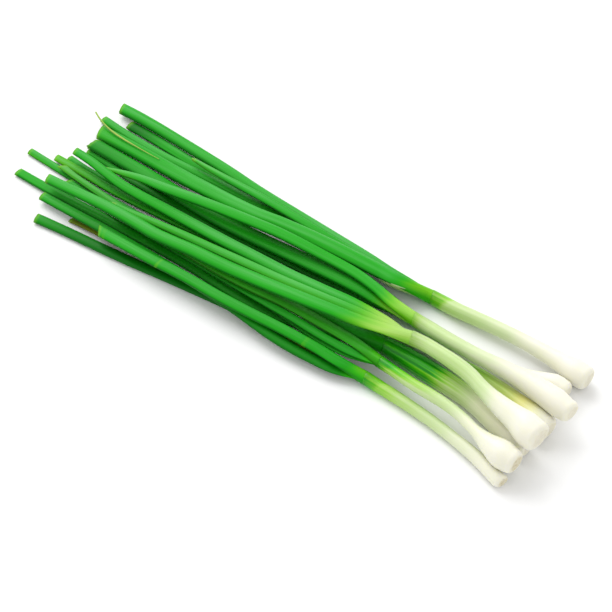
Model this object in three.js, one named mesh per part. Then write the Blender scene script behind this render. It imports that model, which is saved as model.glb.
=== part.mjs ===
// A loose bunch of trimmed spring onions lying on a flat surface: eight plants, each a bulb with its pale
// shank and two to four hollow leaves, and one dried strand over the cut ends. +X points to the bulbs, +Z up.
import * as THREE from "three";

// Routes and widths are given as they look from this eye, laid flat on the surface: a piece that lies higher
// in the pile is moved along the line of sight, so it still covers the same place.
const EYE_AZIMUTH = 37;
const EYE_ELEVATION = 50;
const EYE_DISTANCE = 900;

// How the pile rests
const CLEARANCE = 0.32;
const FIRST_HEIGHT = 5;
const SETTLING_ROUNDS = 7;
const STEM_DROOP_RADIUS = 1000;
const LEAF_DROOP_RADIUS = 520;
const PROBES_A_RING = 4;
const PRESSED_FLAT_BELOW = 0.3;

// Stems: round, with a mouth cut aslant at the top and a root plate at the bottom
const STEM_SIDES = 10;
const STEM_RING_STEP = 7.5;
const MOUTH_DEPTH = 8;
const MOUTH_WALL = 0.6;
const MOUTH_TAPER = 0.1;
const MOUTH_SLANT = -0.3;
const ROOT_PLATE_SHARE = 0.72;
const ROOT_PLATE_RISE = 0.9;

// Leaves: flattened tubes, cut open at the end or drawn to a point
const LEAF_SIDES = 8;
const LEAF_RING_STEP = 12;
const LEAF_FLATNESS = 0.5;
const LEAF_WALL = 0.7;
const CUT_TAPER = 0.15;
const CUT_DEPTH = 9;
const SLIT = 0.1;
const BASE_DEPTH = 6.5;
const BASE_SHARE = 0.95;
const TOP_LEAF_SHARE = 1.8;
const COLLAR_STEP = 2;
const WIDTH_FLARE = 24;
const HEIGHT_FLARE = 34;
const POINT_LENGTH = 46;
const POINT_HALF_WIDTH = 0.9;
const POINT_HALF_HEIGHT = 0.7;

const LEAF_COLOUR = 0x2f9b3c;
const SHANK_COLOUR = 0xd9ecb4;
const DRY_COLOUR = 0xb9b860;

// Each plant, lowest in the pile first. route is the middle of the shank from the mouth to the root plate,
// and girth the half width along it. A leaf's route runs from its outer end towards the mouth, and its
// widths are those at the outer end, half way and near the mouth. The last leaf of a plant lies on top of
// its others. All as seen by the eye, in mm.
const PLANTS = [
  {
    number: 2,
    route: [[50, 26], [70, 25.2], [90, 25.5], [104, 27], [114, 28.3], [120, 30], [126, 31.3],
      [132.7, 31.5]],
    girth: [[50, 4], [90, 4.2], [108, 4.6], [116, 6], [124, 7.5], [129, 7.6], [132.7, 6.6]],
    leaves: [
      {
        route: [[-154.5, 45.3], [-140, 45], [-120, 44], [-100, 43], [-80, 42], [-60, 41.3], [-40, 40],
          [-20, 38], [0, 35], [20, 31], [36, 28]],
        widths: [6.5, 6.5, 6],
        slant: 0.1,
      },
      {
        route: [[-159.5, 16.4], [-145, 15.8], [-130, 14.4], [-120, 14], [-90, 14.4], [-60, 15.8],
          [-30, 17.9], [0, 20], [25, 22.5], [38, 25]],
        widths: [4, 5.6, 6],
        slant: -0.2,
      },
    ],
  },
  {
    number: 7,
    route: [[80, 14.2], [90, 15.3], [100, 15], [110, 13.8], [120, 11.5], [130, 9], [137.2, 8]],
    girth: [[80, 4.2], [100, 4.5], [112, 5.2], [120, 6.6], [128, 8], [133, 8.2], [137.2, 7.2]],
    leaves: [
      {
        route: [[-164, 6.5], [-150, 5.5], [-130, 6], [-100, 8], [-60, 10], [-20, 12], [20, 14],
          [50, 14.5], [68, 14.3]],
        widths: [4, 5, 5.5],
        slant: 0.1,
      },
      {
        route: [[-170, 2.5], [-150, 2.6], [-135, 2.3], [-120, 2.8], [-100, 4.2], [-60, 7.6], [-20, 11.5],
          [20, 13.5], [50, 14], [68, 14.2]],
        widths: [4.5, 6.2, 5.5],
        slant: -0.1,
      },
    ],
  },
  {
    number: 8,
    route: [[46, 2.8], [60, 3], [72, 2.7], [82, 2.3], [90, 1.8], [100, 0.2], [110, -2.8], [120, -5],
      [128, -6.5], [134.7, -7]],
    girth: [[46, 5.4], [60, 6.4], [82, 6.6], [100, 5.9], [110, 5.7], [118, 6.3], [126, 7.5], [131, 7.5],
      [134.7, 6.4]],
    leaves: [
      {
        route: [[-179, -17.7], [-160, -17.5], [-140, -16.7], [-120, -15.7], [-100, -15], [-80, -14],
          [-60, -13.8], [-40, -14.6], [-20, -14.6], [0, -12], [18, -7], [34, -1.5]],
        widths: [5.4, 7.2, 6.5],
        slant: 0.1,
      },
      {
        route: [[-184.5, -1.7], [-165, -2.1], [-155, -2.5], [-120, -2.7], [-80, -2.2], [-40, -1], [0, 1],
          [35, 2.7]],
        widths: [4.4, 5.5, 7.5],
        slant: -0.1,
      },
    ],
  },
  {
    number: 6,
    route: [[50, -19], [60, -19.2], [70, -19.5], [80, -20.2], [90, -21], [100, -22.3], [110, -23.9],
      [120, -26], [130, -29], [135.8, -30.7]],
    girth: [[50, 4.2], [60, 3.9], [100, 3.7], [120, 4.2], [135.8, 4.5]],
    leaves: [
      {
        route: [[-148.5, -36.8], [-130, -34.5], [-110, -32.5], [-90, -30.3], [-70, -27.5], [-50, -25],
          [-30, -22.8], [-10, -21.5], [10, -20.5], [36, -19.6]],
        widths: [6.5, 6.3, 5],
        slant: -0.25,
      },
      {
        route: [[-133.5, -26.8], [-125, -26], [-116, -25.3], [-90, -24], [-60, -22.5], [-20, -21.5],
          [20, -20.5], [36, -19.8]],
        widths: [3.4, 4.2, 4.5],
        slant: 0.2,
      },
      {
        route: [[-157, -23.2], [-140, -22.6], [-120, -21.8], [-100, -21.5], [-60, -21.5], [-30, -22.5],
          [-10, -24.5], [5, -25.5], [20, -25], [35, -23.3]],
        widths: [5.6, 6.4, 6.2],
        slant: -0.1,
      },
      {
        route: [[-116.5, -24], [-100, -23.5], [-80, -22.8], [-60, -21.5], [-40, -21.4], [-20, -20.4],
          [0, -19], [20, -18.5], [38, -18.8]],
        widths: [6.2, 6.2, 6],
        slant: -0.7,
      },
    ],
  },
  {
    number: 5,
    route: [[50, -6.8], [60, -7.5], [70, -8.4], [80, -8.5], [90, -9], [100, -10.5], [110, -13.5],
      [115, -15], [120, -16.3], [128, -17.3], [135.2, -17.8]],
    girth: [[50, 3.7], [60, 3.5], [80, 3.5], [95, 3.3], [110, 3.6], [115, 4.4], [120, 6.2], [128, 8.4],
      [132, 8.4], [135.2, 7]],
    leaves: [
      {
        route: [[-108, -5], [-80, -5.8], [-50, -7.5], [-30, -9], [-5, -11.3], [18, -13], [34, -12]],
        widths: [4.5, 5, 4.6],
        slant: 0.1,
      },
      {
        route: [[-152.5, -6.5], [-135, -8], [-110, -9.5], [-80, -10], [-50, -10.3], [-20, -10.3],
          [0, -10.2], [20, -10.8], [36, -9.5]],
        widths: [4.4, 4.6, 4.4],
        slant: 0.6,
      },
      {
        route: [[-163, -0.5], [-150, -2.2], [-140, -3], [-130, -3.8], [-122, -4.5], [-100, -6],
          [-75, -7.3], [-50, -7.5], [-30, -6.5], [-10, -4.5], [10, -4], [30, -4], [40, -4.8]],
        widths: [3.2, 6, 6],
        slant: 1.2,
      },
    ],
  },
  {
    number: 1,
    route: [[47, 42.7], [53, 43], [60, 43], [70, 44], [80, 45], [90, 45.8], [100, 46.3], [110, 46.3],
      [120, 46], [130, 45.3], [136.5, 45]],
    girth: [[47, 4.5], [60, 4.6], [100, 4.6], [110, 5.2], [120, 6], [128, 7.5], [133, 8.3], [136.5, 7.3]],
    leaves: [
      {
        route: [[-169, 40], [-155, 38.8], [-140, 38.1], [-125, 38], [-110, 38.6], [-95, 39.3],
          [-80, 39.7], [-65, 40], [-45, 41.3], [-25, 42.3], [0, 42.8], [25, 42.5], [36, 42.4]],
        widths: [5, 5.2, 5],
        slant: 0.1,
      },
      {
        route: [[-166.5, 52.3], [-150, 52.7], [-130, 52], [-110, 51], [-90, 49.8], [-70, 48], [-50, 47],
          [-30, 46.3], [-10, 45.5], [10, 44.5], [25, 43.3]],
        widths: [8, 7.4, 6.5],
        slant: -0.3,
      },
      {
        route: [[-109.5, 45.7], [-100, 45.3], [-90, 45.2], [-80, 45.3], [-60, 45.5], [-40, 44.8],
          [-20, 43.7], [0, 43], [25, 42.6]],
        widths: [5, 5, 5],
        pointed: true,
      },
      {
        route: [[-164, 31], [-150, 31], [-125, 31.3], [-100, 32.3], [-80, 32.8], [-60, 34], [-45, 36.5],
          [-30, 38.3], [-15, 39.5], [0, 40.3], [15, 41], [28, 41.6]],
        widths: [10, 9.2, 9],
        slant: -0.3,
      },
    ],
  },
  {
    number: 3,
    route: [[48, 25.2], [58, 24.6], [70, 24.2], [90, 24.7], [100, 25.5], [110, 25.5], [120, 25],
      [130, 24], [140.5, 22.3]],
    girth: [[48, 4.4], [60, 4.2], [80, 4.2], [100, 5], [110, 5.7], [120, 6.8], [130, 7.6], [136, 7.5],
      [140.5, 6.4]],
    leaves: [
      {
        route: [[-162, 22.3], [-150, 22.3], [-130, 22.1], [-110, 21.4], [-90, 20.4], [-70, 20.1],
          [-50, 21.2], [-30, 22.9], [-10, 24.6], [10, 25.8], [28, 26]],
        widths: [8.4, 9.2, 8.8],
        slant: 0.2,
      },
      {
        route: [[-143.5, 12.2], [-135, 14.8], [-125, 17.7], [-115, 19.3], [-105, 20.9], [-95, 22.8],
          [-80, 25.5], [-65, 27.8], [-50, 30], [-35, 31.6], [-20, 32.1], [0, 32.6], [15, 31.8], [28, 29]],
        widths: [6.8, 6.8, 6],
        pointed: true,
      },
    ],
  },
  {
    number: 4,
    route: [[54, 14.8], [60, 15.5], [70, 15.3], [80, 14.5], [90, 12.8], [100, 9.3], [110, 6.4],
      [120, 4.4], [127, 2.5], [136.2, 1]],
    girth: [[54, 4.4], [70, 4.4], [80, 4.7], [100, 4.9], [110, 6], [120, 7.4], [127, 9.2], [132, 10],
      [136.2, 9]],
    leaves: [
      {
        route: [[-165, 12.3], [-155, 11.8], [-145, 10.4], [-135, 9], [-125, 8], [-110, 8.3], [-90, 8.8],
          [-60, 9.5], [-40, 10.5], [-20, 11.5], [0, 13.7], [20, 16], [36, 16]],
        widths: [5, 7.6, 5.2],
        slant: -0.1,
      },
      {
        route: [[-122.5, -4.7], [-110, -3.8], [-100, -2.3], [-80, 0.2], [-60, 2.3], [-40, 4.4],
          [-20, 6.6], [0, 9.3], [20, 12.3], [37, 14]],
        widths: [5.4, 5.4, 5],
        pointed: true,
      },
      {
        route: [[-163, -12.2], [-150, -11], [-130, -9], [-110, -8], [-90, -7.9], [-70, -5.3], [-50, -3.6],
          [-30, -1], [-10, 2], [10, 5.3], [30, 9], [39, 11.5]],
        widths: [6.4, 8.2, 7],
        slant: -0.3,
      },
    ],
  },
];

// The dried strand: a withered leaf, about a millimetre thick, on top of the cut ends
const STRAND = {
  route: [[-176, 41.5], [-172, 39.5], [-168, 37.9], [-163, 36.4], [-157, 35.4], [-150, 34.9],
    [-140, 34.7], [-125, 34.9]],
  halfWidth: 0.55,
  halfHeight: 0.45,
  ringStep: 5,
  sides: 6,
};

const eyeTurn = THREE.MathUtils.degToRad(EYE_AZIMUTH);
const eyeTilt = THREE.MathUtils.degToRad(EYE_ELEVATION);
const EYE = new THREE.Vector3(
  Math.sin(eyeTurn) * Math.cos(eyeTilt),
  -Math.cos(eyeTurn) * Math.cos(eyeTilt),
  Math.sin(eyeTilt),
).multiplyScalar(EYE_DISTANCE);

// A smooth curve through points [x, value], straight on past both ends
function along(points, x) {
  const last = points.length - 1;
  const slope = (i, j) => (points[j][1] - points[i][1]) / (points[j][0] - points[i][0]);
  if (x <= points[0][0]) return points[0][1] + slope(0, 1) * (x - points[0][0]);
  if (x >= points[last][0]) return points[last][1] + slope(last - 1, last) * (x - points[last][0]);
  let i = 0;
  while (x > points[i + 1][0]) i += 1;
  const span = points[i + 1][0] - points[i][0];
  const start = slope(Math.max(i - 1, 0), i + 1) * span;
  const end = slope(i, Math.min(i + 2, last)) * span;
  const t = (x - points[i][0]) / span;
  const rise = points[i + 1][1] - points[i][1];
  const bend = 3 * rise - 2 * start - end;
  return points[i][1] + t * start + t * t * bend + t * t * t * (start + end - 2 * rise);
}

// Where the eye sees a point that lies at x and height, as a distance along the surface
const seenX = (x, height) => (x - EYE.x * height / EYE.z) / (1 - height / EYE.z);

// Where a point stands that the eye sees at x, when it lies at height
const standX = (x, height) => x + (EYE.x - x) * height / EYE.z;

// The y of a piece at x and height that covers the route as the eye sees it
function liftedY(route, x, height) {
  const seenY = along(route, seenX(x, height));
  return seenY + (EYE.y - seenY) * height / EYE.z;
}

// Corners of a cross-section round its middle, with one flat side down so that it can lie on a surface
function outline(sides, halfWidth, halfHeight) {
  const widest = sides % 4 === 0 ? Math.cos(Math.PI / sides) : 1;
  const corners = [];
  for (let k = 0; k < sides; k += 1) {
    const angle = ((k + 0.5) / sides) * 2 * Math.PI - Math.PI / 2;
    corners.push([
      (halfWidth * Math.cos(angle)) / widest,
      (halfHeight * Math.sin(angle)) / Math.cos(Math.PI / sides),
    ]);
  }
  return corners;
}

// The lowest (side -1) or highest (side 1) point of a closed outline at y
function edgeAt(corners, y, side) {
  let best = -Infinity;
  corners.forEach(([y1, z1], k) => {
    const [y2, z2] = corners[(k + 1) % corners.length];
    if (y < Math.min(y1, y2) - 1e-6 || y > Math.max(y1, y2) + 1e-6) return;
    const level = Math.abs(y2 - y1) < 1e-6
      ? [z1, z2]
      : [z1 + ((z2 - z1) * (y - y1)) / (y2 - y1)];
    level.forEach((z) => { best = Math.max(best, z * side); });
  });
  return best * side;
}

// The pile so far: each piece as its cross-sections in planes of one x
const pile = [];

function sectionAt(piece, x) {
  const { sections } = piece;
  if (x < sections[0].x || x > sections[sections.length - 1].x) return null;
  let i = 0;
  while (x > sections[i + 1].x) i += 1;
  const share = (x - sections[i].x) / (sections[i + 1].x - sections[i].x);
  return sections[i].corners.map(([y, z], k) => {
    const [nextY, nextZ] = sections[i + 1].corners[k];
    return [y + (nextY - y) * share, z + (nextZ - z) * share];
  });
}

// How high the middle of a section has to be to rest on the surface and on the pile
function restingHeight(x, y, sides, halfWidth, halfHeight) {
  let height = halfHeight;
  const own = outline(sides, halfWidth + CLEARANCE, halfHeight + CLEARANCE).map(([u, v]) => [y + u, v]);
  const ownLow = Math.min(...own.map(([u]) => u));
  const ownHigh = Math.max(...own.map(([u]) => u));
  pile.forEach((piece) => {
    if (ownHigh < piece.lowY || ownLow > piece.highY) return;
    const other = sectionAt(piece, x);
    if (!other) return;
    const low = Math.max(ownLow, Math.min(...other.map(([u]) => u)));
    const high = Math.min(ownHigh, Math.max(...other.map(([u]) => u)));
    if (low >= high) return;
    const inside = [...own, ...other].map(([u]) => u).filter((u) => u > low && u < high);
    [low, high, ...inside].forEach((u) => {
      height = Math.max(height, edgeAt(other, u, 1) - edgeAt(own, u, -1));
    });
  });
  return height;
}

// The heights of a springy stem or leaf over the points that carry it
function drape(places, needs, droopRadius) {
  const arched = places.map((x) => Math.max(
    ...places.map((support, j) => needs[j] - (x - support) ** 2 / (2 * droopRadius)),
  ));
  const reach = PROBES_A_RING;
  return arched.map((height, i) => {
    const near = arched.slice(Math.max(i - reach, 0), i + reach + 1);
    const mean = near.reduce((sum, value) => sum + value, 0) / near.length;
    return Math.max(needs[i], near.length > 2 * reach ? mean : height);
  });
}

// Lays a piece on the pile. size(seen x, x) gives its half width and half height. held, if given, is the
// height that the piece has at its highest x.
function settle({ rings, route, size, sides, droopRadius, held }) {
  const probes = [];
  for (let i = 0; i < rings.length - 1; i += 1) {
    for (let k = 0; k < PROBES_A_RING; k += 1) {
      probes.push(rings[i] + ((rings[i + 1] - rings[i]) * k) / PROBES_A_RING);
    }
  }
  probes.push(rings[rings.length - 1]);
  let heights = probes.map(() => held ?? FIRST_HEIGHT);
  let ys = [];
  for (let round = 0; round < SETTLING_ROUNDS; round += 1) {
    ys = probes.map((x, i) => liftedY(route, x, heights[i]));
    const sizes = probes.map((x, i) => size(seenX(x, heights[i]), x));
    const needs = probes.map((x, i) => restingHeight(x, ys[i], sides, ...sizes[i]));
    if (held !== undefined) needs[needs.length - 1] = held;
    const next = drape(probes, needs, droopRadius);
    const lastRound = round === SETTLING_ROUNDS - 1;
    heights = heights.map((height, i) => (lastRound ? next[i] : (height + next[i]) / 2));
    if (lastRound) {
      return rings.map((x, i) => {
        const at = i * PROBES_A_RING;
        const [halfWidth, halfHeight] = sizes[at];
        const height = heights[at] - halfHeight < PRESSED_FLAT_BELOW ? halfHeight : heights[at];
        return { x, y: ys[at], z: height, halfWidth, halfHeight };
      });
    }
  }
  return [];
}

// Lays a piece whose ends are given as the eye sees them, once to learn how high they lie and once in place
function layBetween({ seenLow, seenHigh, high, step, ...piece }) {
  const ends = [FIRST_HEIGHT, FIRST_HEIGHT];
  const lay = () => settle({
    ...piece,
    rings: ringPlaces(standX(seenLow, ends[0]), high ?? standX(seenHigh, ends[1]), step),
  });
  const first = lay();
  ends[0] = first[0].z;
  ends[1] = first[first.length - 1].z;
  return lay();
}

// Spaces the cross-sections of a piece evenly
function ringPlaces(from, to, step) {
  const count = Math.max(2, Math.round((to - from) / step));
  return Array.from({ length: count + 1 }, (_, i) => from + ((to - from) * i) / count);
}

// One corner ring of the final surface. slant leans the ring along the piece.
function ring(sides, { x, y, z }, halfWidth, halfHeight, slant = 0) {
  const corners = outline(sides, halfWidth, halfHeight);
  return corners.map(([u, v]) => new THREE.Vector3(x + u * slant, y + u, z + v));
}

// A closed surface through rings of equal corners, drawn together at a point before the first and after the
// last
function closedSurface(firstPoint, rings, lastPoint) {
  const sides = rings[0].length;
  const points = [firstPoint, ...rings.flat(), lastPoint];
  const faces = [];
  const corner = (r, k) => 1 + r * sides + (k % sides);
  for (let k = 0; k < sides; k += 1) {
    faces.push([0, corner(0, k + 1), corner(0, k)]);
    for (let r = 0; r < rings.length - 1; r += 1) {
      faces.push([corner(r, k), corner(r, k + 1), corner(r + 1, k + 1)]);
      faces.push([corner(r, k), corner(r + 1, k + 1), corner(r + 1, k)]);
    }
    faces.push([points.length - 1, corner(rings.length - 1, k), corner(rings.length - 1, k + 1)]);
  }
  const geometry = new THREE.BufferGeometry();
  geometry.setAttribute("position", new THREE.Float32BufferAttribute(points.flatMap((p) => p.toArray()), 3));
  const wedge = ([a, b, c]) => points[a].dot(points[b].clone().cross(points[c]));
  const volume = faces.reduce((sum, face) => sum + wedge(face), 0);
  geometry.setIndex(faces.flatMap(([a, b, c]) => (volume > 0 ? [a, b, c] : [a, c, b])));
  geometry.computeVertexNormals();
  return geometry;
}

// Notes where a piece lies, so that the next ones rest on it
function layInPile(sides, places) {
  const sections = places.map(({ x, y, z, halfWidth, halfHeight }) => ({
    x,
    corners: outline(sides, halfWidth, halfHeight).map(([u, v]) => [y + u, z + v]),
  }));
  const ys = sections.flatMap(({ corners }) => corners.map(([y]) => y));
  pile.push({ sections, lowY: Math.min(...ys), highY: Math.max(...ys) });
}

const bunch = new THREE.Group();

function addPiece(name, geometry, color) {
  const material = new THREE.MeshStandardMaterial({ color, roughness: 0.5, metalness: 0 });
  const mesh = new THREE.Mesh(geometry, material);
  mesh.name = name;
  bunch.add(mesh);
}

// Seen half width of a round stem over its radius
const ROUND_SPREAD = Math.hypot(1, Math.cos(eyeTurn) / Math.tan(eyeTilt));
// The same for a leaf that is flatter than it is wide
const FLAT_SPREAD = Math.hypot(1, (LEAF_FLATNESS * Math.cos(eyeTurn)) / Math.tan(eyeTilt));

// A stem: bulb and shank in one, with the mouth that its leaves come out of
function layStem(plant) {
  const { route, girth } = plant;
  const low = route[0][0];
  const high = route[route.length - 1][0];
  const places = layBetween({
    seenLow: low,
    seenHigh: high,
    step: STEM_RING_STEP,
    route,
    size: (x) => {
      const radius = along(girth, Math.min(Math.max(x, low), high)) / ROUND_SPREAD;
      return [radius, radius];
    },
    sides: STEM_SIDES,
    droopRadius: STEM_DROOP_RADIUS,
  });
  layInPile(STEM_SIDES, places);
  const mouth = places[0];
  const end = places[places.length - 1];
  const before = places[places.length - 2];
  const lean = -(end.y - before.y) / (end.x - before.x);
  const bore = (inset) => [mouth.halfWidth - inset, mouth.halfHeight - inset];
  const axis = sectionMiddle(places, mouth.x + MOUTH_DEPTH);
  const rings = [
    ring(STEM_SIDES, axis, ...bore(MOUTH_WALL + MOUTH_TAPER)),
    ring(STEM_SIDES, mouth, ...bore(MOUTH_WALL), MOUTH_SLANT),
    ring(STEM_SIDES, mouth, mouth.halfWidth, mouth.halfHeight, MOUTH_SLANT),
    ...places.slice(1).map((place) => ring(STEM_SIDES, place, place.halfWidth, place.halfHeight)),
    ring(
      STEM_SIDES,
      { ...end, x: end.x + ROOT_PLATE_RISE },
      end.halfWidth * ROOT_PLATE_SHARE,
      end.halfHeight * ROOT_PLATE_SHARE,
      lean,
    ),
  ];
  const floor = new THREE.Vector3(axis.x, axis.y, axis.z);
  const tip = new THREE.Vector3(end.x + ROOT_PLATE_RISE, end.y, end.z);
  addPiece(`stem_${plant.number}`, closedSurface(floor, rings, tip), SHANK_COLOUR);
  return places;
}

// The middle of a laid piece at x
function sectionMiddle(places, x) {
  let i = 0;
  while (i < places.length - 2 && x > places[i + 1].x) i += 1;
  const share = (x - places[i].x) / (places[i + 1].x - places[i].x);
  return {
    x,
    y: places[i].y + (places[i + 1].y - places[i].y) * share,
    z: places[i].z + (places[i + 1].z - places[i].z) * share,
  };
}

// A leaf: its base stands in the mouth of the stem, above the base of the leaf before it. The height of the
// mouth is shared out evenly, but for the top leaf, which is the thickest.
function layLeaf(plant, leaf, index, stem) {
  const count = plant.leaves.length;
  const mouth = stem[0];
  const inner = mouth.halfHeight - MOUTH_WALL - MOUTH_TAPER - CLEARANCE;
  const share = (inner * BASE_SHARE - ((count - 1) * CLEARANCE) / 2) / (count - 1 + TOP_LEAF_SHARE);
  const baseHalfHeight = index === count - 1 ? share * TOP_LEAF_SHARE : share;
  const offset = index * (2 * share + CLEARANCE) + baseHalfHeight - inner * BASE_SHARE;
  const off = (Math.abs(offset) + baseHalfHeight / 2) / inner;
  const baseHalfWidth = BASE_SHARE * inner * Math.sqrt(1 - off * off);
  const collarX = mouth.x - COLLAR_STEP;
  const collarHalfWidth = mouth.halfWidth * Math.sqrt(1 - (offset / mouth.halfHeight) ** 2);
  const outer = leaf.route[0][0];
  const middle = (outer + plant.route[0][0]) / 2;
  const widths = [[outer, leaf.widths[0]], [middle, leaf.widths[1]], [plant.route[0][0], leaf.widths[2]]];
  const size = (seen, x) => {
    const widening = THREE.MathUtils.smoothstep(collarX - x, 0, WIDTH_FLARE);
    const thickening = THREE.MathUtils.smoothstep(collarX - x, 0, HEIGHT_FLARE);
    let halfWidth = along(widths, Math.max(seen, outer)) / 2 / FLAT_SPREAD;
    let halfHeight = halfWidth * LEAF_FLATNESS;
    if (leaf.pointed) {
      const fullness = Math.sqrt(THREE.MathUtils.clamp((seen - outer) / POINT_LENGTH, 0, 1));
      halfWidth = THREE.MathUtils.lerp(POINT_HALF_WIDTH, halfWidth, fullness);
      halfHeight = THREE.MathUtils.lerp(POINT_HALF_HEIGHT, halfHeight, fullness);
    }
    return [
      THREE.MathUtils.lerp(collarHalfWidth, halfWidth, widening),
      THREE.MathUtils.lerp(baseHalfHeight, halfHeight, thickening),
    ];
  };
  const places = layBetween({
    seenLow: outer,
    high: collarX,
    step: LEAF_RING_STEP,
    route: [...leaf.route, plant.route[0]],
    size,
    sides: LEAF_SIDES,
    droopRadius: LEAF_DROOP_RADIUS,
    held: mouth.z + offset,
  });
  const baseSize = { halfWidth: baseHalfWidth, halfHeight: baseHalfHeight };
  const collar = places[places.length - 1];
  collar.y = mouth.y + (mouth.y - stem[1].y) * (COLLAR_STEP / STEM_RING_STEP);
  collar.z = mouth.z + offset;
  places.push({ x: mouth.x, y: mouth.y, z: mouth.z + offset, ...baseSize });
  layInPile(LEAF_SIDES, places);
  const foot = sectionMiddle(stem, mouth.x + BASE_DEPTH);
  foot.z += offset;
  const body = places.map((place) => ring(LEAF_SIDES, place, place.halfWidth, place.halfHeight));
  const footRing = ring(LEAF_SIDES, foot, baseHalfWidth, baseHalfHeight);
  const footPoint = new THREE.Vector3(foot.x, foot.y, foot.z);
  const end = places[0];
  let rings = [];
  let tip;
  if (leaf.pointed) {
    rings = body;
    tip = new THREE.Vector3(end.x - 2 * POINT_HALF_WIDTH, end.y, end.z);
  } else {
    const inside = sectionMiddle(places, end.x + CUT_DEPTH);
    const bore = (inset) => [end.halfWidth, end.halfHeight].map((half) => Math.max(half - inset, SLIT));
    rings = [
      ring(LEAF_SIDES, inside, ...bore(LEAF_WALL + CUT_TAPER)),
      ring(LEAF_SIDES, end, ...bore(LEAF_WALL), leaf.slant),
      ring(LEAF_SIDES, end, end.halfWidth, end.halfHeight, leaf.slant),
      ...body.slice(1),
    ];
    tip = new THREE.Vector3(inside.x, inside.y, inside.z);
  }
  const name = `leaf_${plant.number}${"abcd"[index]}`;
  addPiece(name, closedSurface(tip, [...rings, footRing], footPoint), LEAF_COLOUR);
}

PLANTS.forEach((plant) => {
  const stem = layStem(plant);
  plant.leaves.forEach((leaf, index) => layLeaf(plant, leaf, index, stem));
});

const strand = layBetween({
  seenLow: STRAND.route[0][0],
  seenHigh: STRAND.route[STRAND.route.length - 1][0],
  step: STRAND.ringStep,
  route: STRAND.route,
  size: () => [STRAND.halfWidth, STRAND.halfHeight],
  sides: STRAND.sides,
  droopRadius: LEAF_DROOP_RADIUS,
});
const strandRings = strand.map((place) => ring(STRAND.sides, place, STRAND.halfWidth, STRAND.halfHeight));
const strandEnd = (place) => new THREE.Vector3(place.x, place.y, place.z);
addPiece(
  "dry_strand",
  closedSurface(strandEnd(strand[0]), strandRings, strandEnd(strand[strand.length - 1])),
  DRY_COLOUR,
);

// The bunch stands on z = 0 with its middle over the origin
const extent = new THREE.Box3().setFromObject(bunch);
const middle = extent.getCenter(new THREE.Vector3());
bunch.position.set(-middle.x, -middle.y, -extent.min.z);

const springOnionBunch = new THREE.Group();
springOnionBunch.add(bunch);

export default springOnionBunch;
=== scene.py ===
# %% [markdown]
# A bunch of spring onions in Blender, cell by cell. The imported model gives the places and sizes: eight
# stems with their bulbs, twenty-two leaves and one dried strand. Here each of them gets a finer mesh in the
# same place and a finish that is worked out by nodes.
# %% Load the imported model
import math
import random

import bmesh
import bpy
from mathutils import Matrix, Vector, noise


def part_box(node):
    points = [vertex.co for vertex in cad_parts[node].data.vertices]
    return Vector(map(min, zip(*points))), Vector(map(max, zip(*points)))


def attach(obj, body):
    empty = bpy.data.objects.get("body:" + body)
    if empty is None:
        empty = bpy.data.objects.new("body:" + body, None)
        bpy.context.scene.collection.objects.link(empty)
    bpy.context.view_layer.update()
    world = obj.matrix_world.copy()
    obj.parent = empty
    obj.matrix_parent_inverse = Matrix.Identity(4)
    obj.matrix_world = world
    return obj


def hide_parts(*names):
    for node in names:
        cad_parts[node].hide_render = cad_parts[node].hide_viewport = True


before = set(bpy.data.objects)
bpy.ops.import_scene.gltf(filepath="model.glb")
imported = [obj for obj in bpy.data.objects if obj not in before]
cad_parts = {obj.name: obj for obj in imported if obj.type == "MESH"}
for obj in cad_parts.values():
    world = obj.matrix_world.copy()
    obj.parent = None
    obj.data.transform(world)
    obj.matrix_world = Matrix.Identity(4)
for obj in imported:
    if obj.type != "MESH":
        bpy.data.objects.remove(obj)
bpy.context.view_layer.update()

MM = 0.001

# %% [markdown]
# The camera comes first, so that every later look is taken from the photograph's side. It looks down at 50
# degrees from 0.9 m away with a long lens, which keeps the bunch nearly free of perspective.
# %% Camera
CAMERA_AZIMUTH = math.radians(37)
CAMERA_ELEVATION = math.radians(50)
CAMERA_DISTANCE = 0.9
LOOK_AT = Vector((0.018472, -0.006375, 0))
LENS = 105.88

towards_camera = Vector((
    math.sin(CAMERA_AZIMUTH) * math.cos(CAMERA_ELEVATION),
    -math.cos(CAMERA_AZIMUTH) * math.cos(CAMERA_ELEVATION),
    math.sin(CAMERA_ELEVATION),
))
camera_data = bpy.data.cameras.new("camera")
camera_data.lens = LENS
camera = bpy.data.objects.new("camera", camera_data)
camera.location = LOOK_AT + towards_camera * CAMERA_DISTANCE
camera.rotation_mode = "QUATERNION"
camera.rotation_quaternion = (-towards_camera).to_track_quat("-Z", "Y")
bpy.context.scene.collection.objects.link(camera)
bpy.context.scene.camera = camera
print("camera at", [round(value, 3) for value in camera.location])

# %% [markdown]
# The light is a bright white room with one soft lamp high behind the leaf ends. Far away and wide, as a sun
# lamp is, it falls on the floor evenly: the floor stays white, with a faint shadow on the near side of the
# bunch. The Standard view keeps the greens as saturated as they are made.
# %% Light
ROOM_LIGHT = 0.92
LAMP_FROM = Vector((-1.0, 0.45, 1.05)).normalized()
LAMP_ANGLE = math.radians(50)
LAMP_STRENGTH = 1.9

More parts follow.
